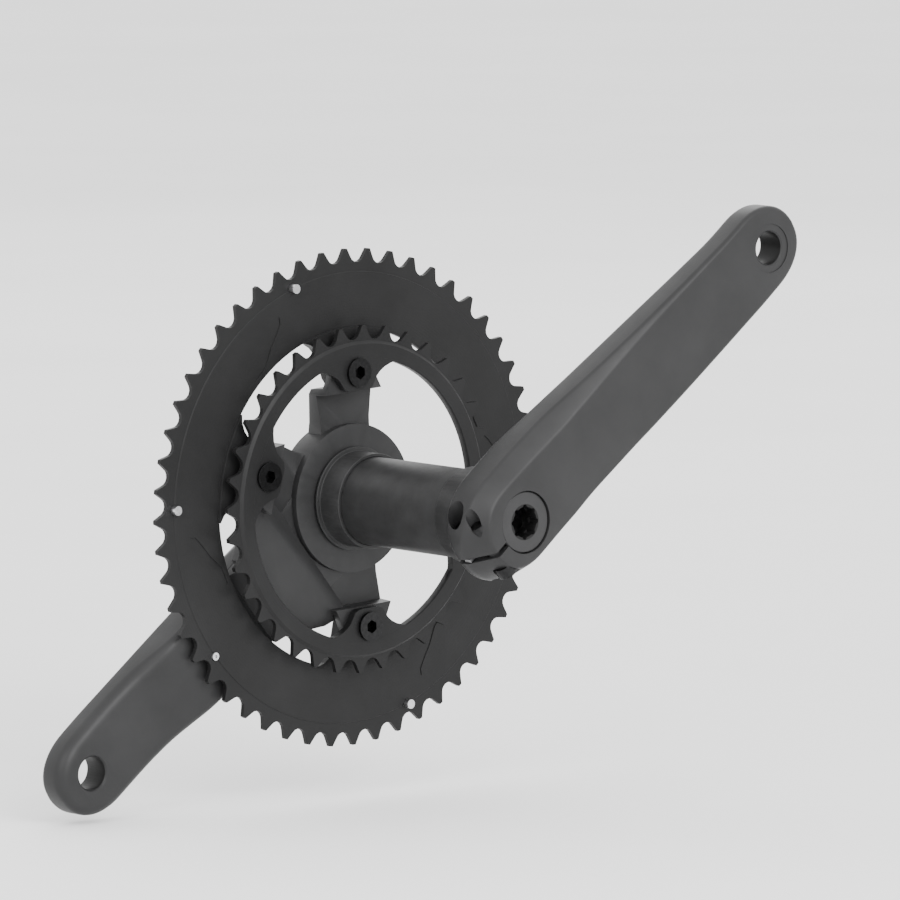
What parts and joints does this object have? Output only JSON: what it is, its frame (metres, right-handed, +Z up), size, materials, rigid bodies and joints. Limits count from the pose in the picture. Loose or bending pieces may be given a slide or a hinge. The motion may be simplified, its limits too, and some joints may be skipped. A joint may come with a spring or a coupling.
{
  "type": "bicycle crankset",
  "caption": "Road bicycle crankset with hollow spindle, clamped left arm, spider arm with two chainrings, and its press-fit bottom bracket.",
  "frame": {"origin": "middle of the bottom bracket shell, on the spindle axis", "axes": "+X forward, +Y to the rider's left along the spindle, +Z up"},
  "size_m": [0.3, 0.148, 0.2552],
  "materials": {
    "cup_plastic": "moulded satin",
    "cover_plastic": "moulded satin",
    "cap_plastic": "moulded satin",
    "cage_plastic": "moulded satin",
    "seal_rubber": "matte",
    "bearing_steel": "ground and polished",
    "spindle_steel": "ground",
    "arm_alloy": "dark grey anodised, satin",
    "ring_alloy": "near black anodised, matte",
    "bolt_steel": "dark plated",
    "stopper_steel": "zinc plated",
    "pin_steel": "bright nickel plated"
  },
  "bodies": {
    "bottom_bracket": {"bb_cup_drive": "cup_plastic", "bb_cup_left": "cup_plastic", "bb_sleeve": "cup_plastic", "sleeve_o_rings": "seal_rubber", "bearing_outer_race_drive": "bearing_steel", "bearing_outer_race_left": "bearing_steel", "bearing_shields_drive": "seal_rubber", "bearing_shields_left": "seal_rubber", "dust_cover_drive": "cover_plastic", "dust_cover_left": "cover_plastic"},
    "crankset": {"spindle": "spindle_steel", "right_crank_arm": "arm_alloy", "left_crank_arm": "arm_alloy", "outer_chainring": "ring_alloy", "inner_chainring": "ring_alloy", "chainring_bolts": "bolt_steel", "clamp_bolts": "bolt_steel", "preload_cap": "cap_plastic", "bearing_inner_race_drive": "bearing_steel", "bearing_inner_race_left": "bearing_steel", "bearing_bush_drive": "cover_plastic", "bearing_bush_left": "cover_plastic", "shift_pins": "pin_steel", "chain_drop_pin": "pin_steel"},
    "ball_set_drive": {"bearing_balls_drive": "bearing_steel", "bearing_cage_drive": "cage_plastic"},
    "ball_set_left": {"bearing_balls_left": "bearing_steel", "bearing_cage_left": "cage_plastic"},
    "stopper": {"stopper_plate": "stopper_steel"}
  },
  "joints": [
    {"name": "crank_spin", "type": "hinge", "parent": "bottom_bracket", "child": "crankset", "pos_m": [0, 0, 0], "axis": [0, 1, 0], "continuous": true},
    {"name": "ball_set_drive_spin", "type": "hinge", "parent": "bottom_bracket", "child": "ball_set_drive", "pos_m": [0, -0.04045, 0], "axis": [0, 1, 0], "continuous": true},
    {"name": "ball_set_left_spin", "type": "hinge", "parent": "bottom_bracket", "child": "ball_set_left", "pos_m": [0, 0.04045, 0], "axis": [0, 1, 0], "continuous": true},
    {"name": "stopper_swing", "type": "hinge", "parent": "crankset", "child": "stopper", "pos_m": [0.01362, 0.05142, -0.01115], "axis": [-0.6334, 0, -0.7738], "range_deg": [0, 20]}
  ],
  "couplings": [
    {"joint": "ball_set_drive_spin", "follows": "crank_spin", "ratio": 0.44355},
    {"joint": "ball_set_left_spin", "follows": "crank_spin", "ratio": 0.44355}
  ]
}
